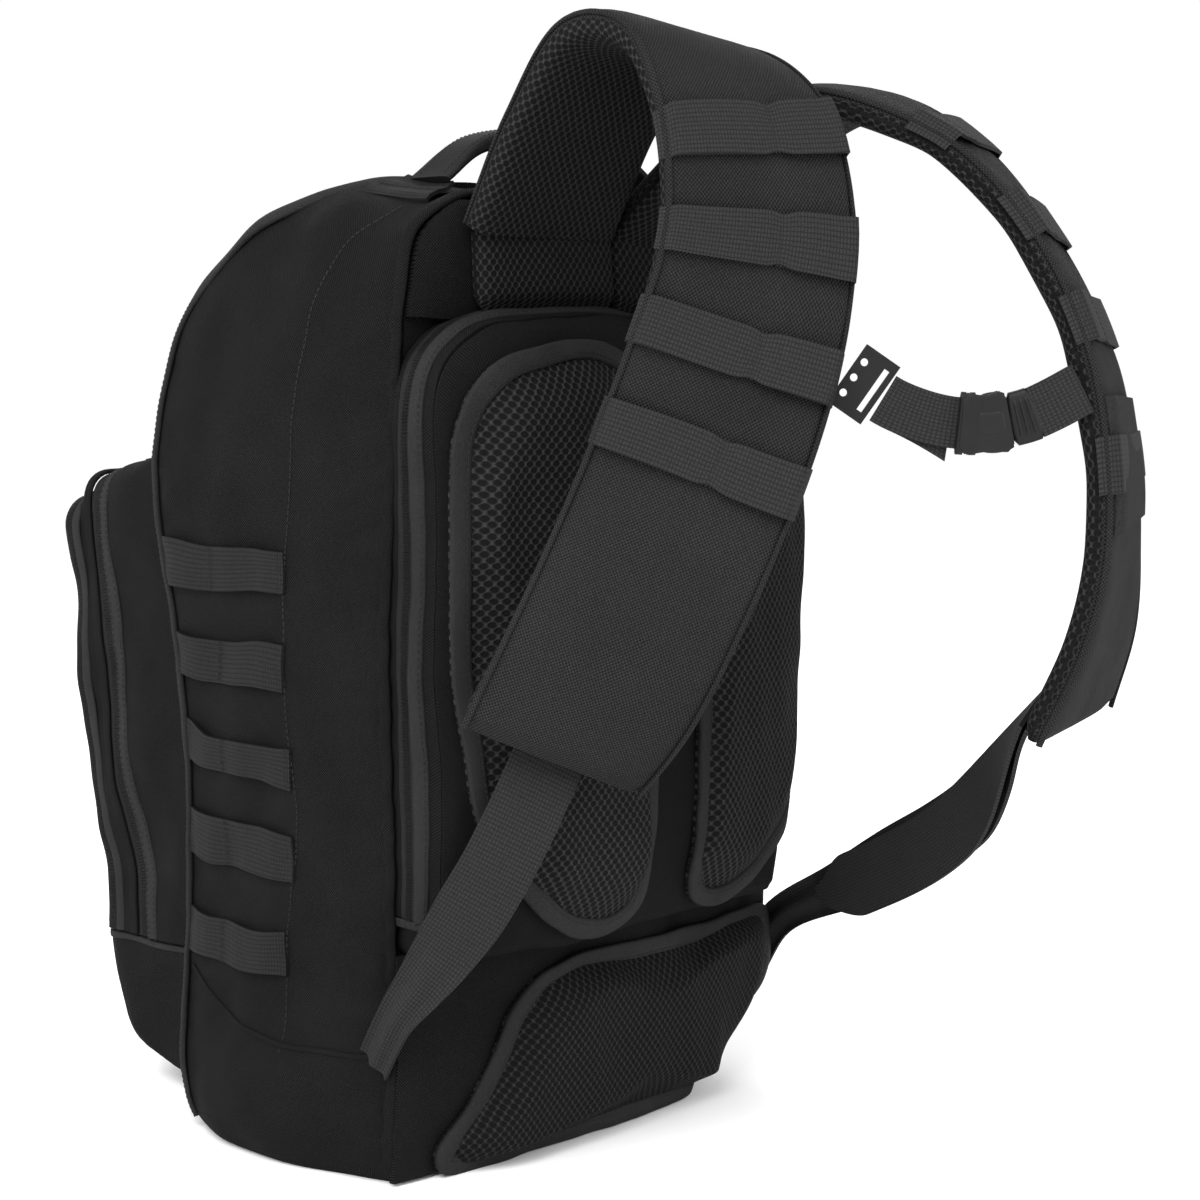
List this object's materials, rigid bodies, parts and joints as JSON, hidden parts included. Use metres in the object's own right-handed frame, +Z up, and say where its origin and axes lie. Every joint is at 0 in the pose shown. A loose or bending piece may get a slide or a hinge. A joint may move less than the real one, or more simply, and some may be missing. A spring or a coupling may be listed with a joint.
{
  "type": "trauma backpack",
  "caption": "Clamshell medical backpack with a front pocket, webbing rows on its sides, mesh back pads, padded shoulder straps, a haul handle and a chest strap.",
  "frame": {"origin": "middle of the base, on the face that it stands on", "axes": "+Z up; +Y towards the wearer's back, where the shoulder straps are; +X to the wearer's right; the front pocket is on the -Y side"},
  "size_m": [0.328, 0.6102, 0.5983],
  "materials": {
    "pack_fabric": "matte coated woven nylon",
    "air_mesh": "matte open spacer mesh over foam",
    "webbing": "ribbed nylon webbing",
    "lining": "matte coated lining cloth",
    "loop_pile": "loop pile",
    "plastic": "satin acetal",
    "zip_metal": "black coated die casting",
    "alloy": "brushed strip"
  },
  "bodies": {
    "pack": {"base_boot": "pack_fabric", "side_panel_right": "pack_fabric", "side_panel_left": "pack_fabric", "rear_wall": "lining", "top_panel": "pack_fabric", "frame_sheet": "plastic", "frame_stay": "alloy", "rear_gusset": "pack_fabric", "lower_back_panel": "pack_fabric", "lumbar_pad": "air_mesh", "yoke_panel": "pack_fabric", "strap_root_right": "air_mesh", "strap_root_left": "air_mesh", "strap_tab_right": "webbing", "strap_tab_left": "webbing", "lower_webbing_right": "webbing", "lower_webbing_left": "webbing", "side_webbing_right_1": "webbing", "side_webbing_right_2": "webbing", "side_webbing_right_3": "webbing", "side_webbing_right_4": "webbing", "side_webbing_right_5": "webbing", "side_webbing_left_1": "webbing", "side_webbing_left_2": "webbing", "side_webbing_left_3": "webbing", "side_webbing_left_4": "webbing", "side_webbing_left_5": "webbing"},
    "front_door": {"front_panel": "pack_fabric", "front_pocket": "pack_fabric"},
    "pocket_lid": {"pocket_lid": "pack_fabric"},
    "outer_pocket": {"outer_pocket": "pack_fabric"},
    "rear_door": {"rear_door": "pack_fabric", "back_pad_right": "air_mesh", "back_pad_left": "air_mesh"},
    "haul_handle": {"haul_handle": "webbing"},
    "right_strap": {"shoulder_strap_right": "air_mesh", "strap_band_right_1": "webbing", "strap_band_right_2": "webbing", "strap_band_right_3": "webbing", "strap_band_right_4": "webbing", "ladder_lock_right": "plastic", "sternum_adjuster": "plastic", "sternum_web_right": "webbing", "buckle_socket": "plastic"},
    "left_strap": {"shoulder_strap_left": "air_mesh", "strap_band_left_1": "webbing", "strap_band_left_2": "webbing", "strap_band_left_3": "webbing", "strap_band_left_4": "webbing", "ladder_lock_left": "plastic", "loop_patch": "loop_pile", "sternum_web_left": "webbing"},
    "buckle_plug": {"buckle_plug": "plastic"},
    "buckle_arm_upper": {"buckle_arm_upper": "plastic"},
    "buckle_arm_lower": {"buckle_arm_lower": "plastic"},
    "rear_zip": {"rear_zip_slider": "zip_metal"},
    "rear_zip_pull": {"rear_zip_pull": "plastic"},
    "pocket_zip": {"pocket_zip_slider": "zip_metal"},
    "pocket_zip_pull": {"pocket_zip_pull": "plastic"},
    "main_zip": {"main_zip_slider": "zip_metal"}
  },
  "joints": [
    {"name": "front_door_hinge", "type": "hinge", "parent": "pack", "child": "front_door", "pos_m": [0, -0.086, 0.013], "axis": [1, 0, 0], "range_deg": [0, 95]},
    {"name": "pocket_lid_hinge", "type": "hinge", "parent": "front_door", "child": "pocket_lid", "pos_m": [0, -0.192, 0.092], "axis": [1, 0, 0], "range_deg": [0, 80]},
    {"name": "outer_pocket_hinge", "type": "hinge", "parent": "pocket_lid", "child": "outer_pocket", "pos_m": [0, -0.192, 0.092], "axis": [1, 0, 0], "range_deg": [0, 75]},
    {"name": "rear_door_hinge", "type": "hinge", "parent": "pack", "child": "rear_door", "pos_m": [0, 0.1185, 0.122], "axis": [-1, 0, 0], "range_deg": [0, 4.5]},
    {"name": "haul_handle_hinge", "type": "hinge", "parent": "pack", "child": "haul_handle", "pos_m": [0, 0.048, 0.525], "axis": [1, 0, 0], "range_deg": [-35, 35]},
    {"name": "right_strap_hinge", "type": "hinge", "parent": "pack", "child": "right_strap", "pos_m": [0, 0.1, 0.497], "axis": [1, 0, 0], "range_deg": [0, 12]},
    {"name": "left_strap_hinge", "type": "hinge", "parent": "pack", "child": "left_strap", "pos_m": [0, 0.1, 0.497], "axis": [1, 0, 0], "range_deg": [0, 12]},
    {"name": "buckle_release", "type": "slide", "parent": "right_strap", "child": "buckle_plug", "axis": [-0.671, 0.7297, 0.1316], "range_m": [0, 0.013]},
    {"name": "buckle_arm_upper_pinch", "type": "hinge", "parent": "buckle_plug", "child": "buckle_arm_upper", "pos_m": [-0.03398, 0.33484, 0.4132], "axis": [0.7361, 0.6769, 0], "range_deg": [0, 9], "stiffness_Nm_per_rad": 0.02},
    {"name": "buckle_arm_lower_pinch", "type": "hinge", "parent": "buckle_plug", "child": "buckle_arm_lower", "pos_m": [-0.03613, 0.33718, 0.38921], "axis": [-0.7361, -0.6769, 0], "range_deg": [0, 9], "stiffness_Nm_per_rad": 0.02},
    {"name": "rear_zip_slide", "type": "slide", "parent": "pack", "child": "rear_zip", "axis": [1, 0, 0], "range_m": [-0.06, 0.06]},
    {"name": "rear_zip_pull_swing", "type": "hinge", "parent": "rear_zip", "child": "rear_zip_pull", "pos_m": [-0.011, 0.1165, 0.457], "axis": [1, 0, 0], "range_deg": [0, 110]},
    {"name": "pocket_zip_slide", "type": "slide", "parent": "front_door", "child": "pocket_zip", "axis": [1, 0, 0], "range_m": [-0.19, 0]},
    {"name": "pocket_zip_pull_swing", "type": "hinge", "parent": "pocket_zip", "child": "pocket_zip_pull", "pos_m": [0.097, -0.1865, 0.3697], "axis": [1, 0, 0], "range_deg": [0, 150]},
    {"name": "main_zip_slide", "type": "slide", "parent": "pack", "child": "main_zip", "axis": [1, 0, 0], "range_m": [-0.12, 0]}
  ],
  "couplings": [
    {"joint": "left_strap_hinge", "follows": "right_strap_hinge", "ratio": 1},
    {"joint": "buckle_arm_lower_pinch", "follows": "buckle_arm_upper_pinch", "ratio": 1}
  ]
}
